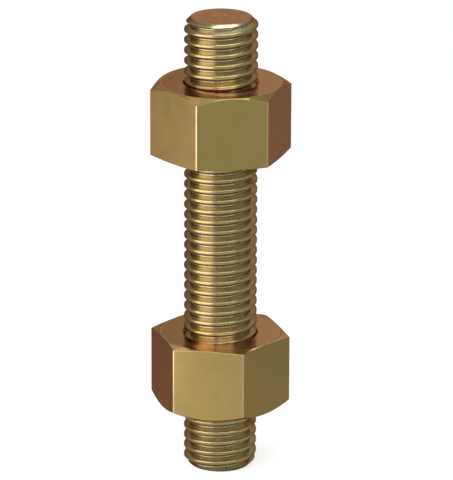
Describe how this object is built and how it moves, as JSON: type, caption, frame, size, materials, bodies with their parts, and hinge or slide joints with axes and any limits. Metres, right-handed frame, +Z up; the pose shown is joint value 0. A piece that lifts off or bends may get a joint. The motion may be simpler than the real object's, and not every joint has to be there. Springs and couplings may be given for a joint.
{
  "type": "stud bolt with heavy hex nuts",
  "caption": "Double ended stud threaded along its whole length, with a heavy hex nut run on from each end, standing on its end.",
  "frame": {"origin": "middle of the stud's lower end face, which the part stands on", "axes": "+Z up along the stud, -Y towards the viewer of the front, +X to the viewer's right"},
  "size_m": [0.0304, 0.0292, 0.1016],
  "materials": {
    "stud_plating": "yellow zinc plated steel, glossy, rolled thread",
    "nut_plating": "yellow zinc plated steel, glossy, with reddish and olive tints"
  },
  "bodies": {
    "stud": {"stud": "stud_plating"},
    "upper_nut": {"upper_nut": "nut_plating"},
    "lower_nut": {"lower_nut": "nut_plating"}
  },
  "joints": [
    {"name": "upper_nut_travel", "type": "slide", "parent": "stud", "child": "upper_nut", "axis": [0, 0, 1], "range_m": [-0.02078, 0.03002]},
    {"name": "lower_nut_travel", "type": "slide", "parent": "stud", "child": "lower_nut", "axis": [0, 0, 1], "range_m": [-0.01385, 0.01847]}
  ]
}
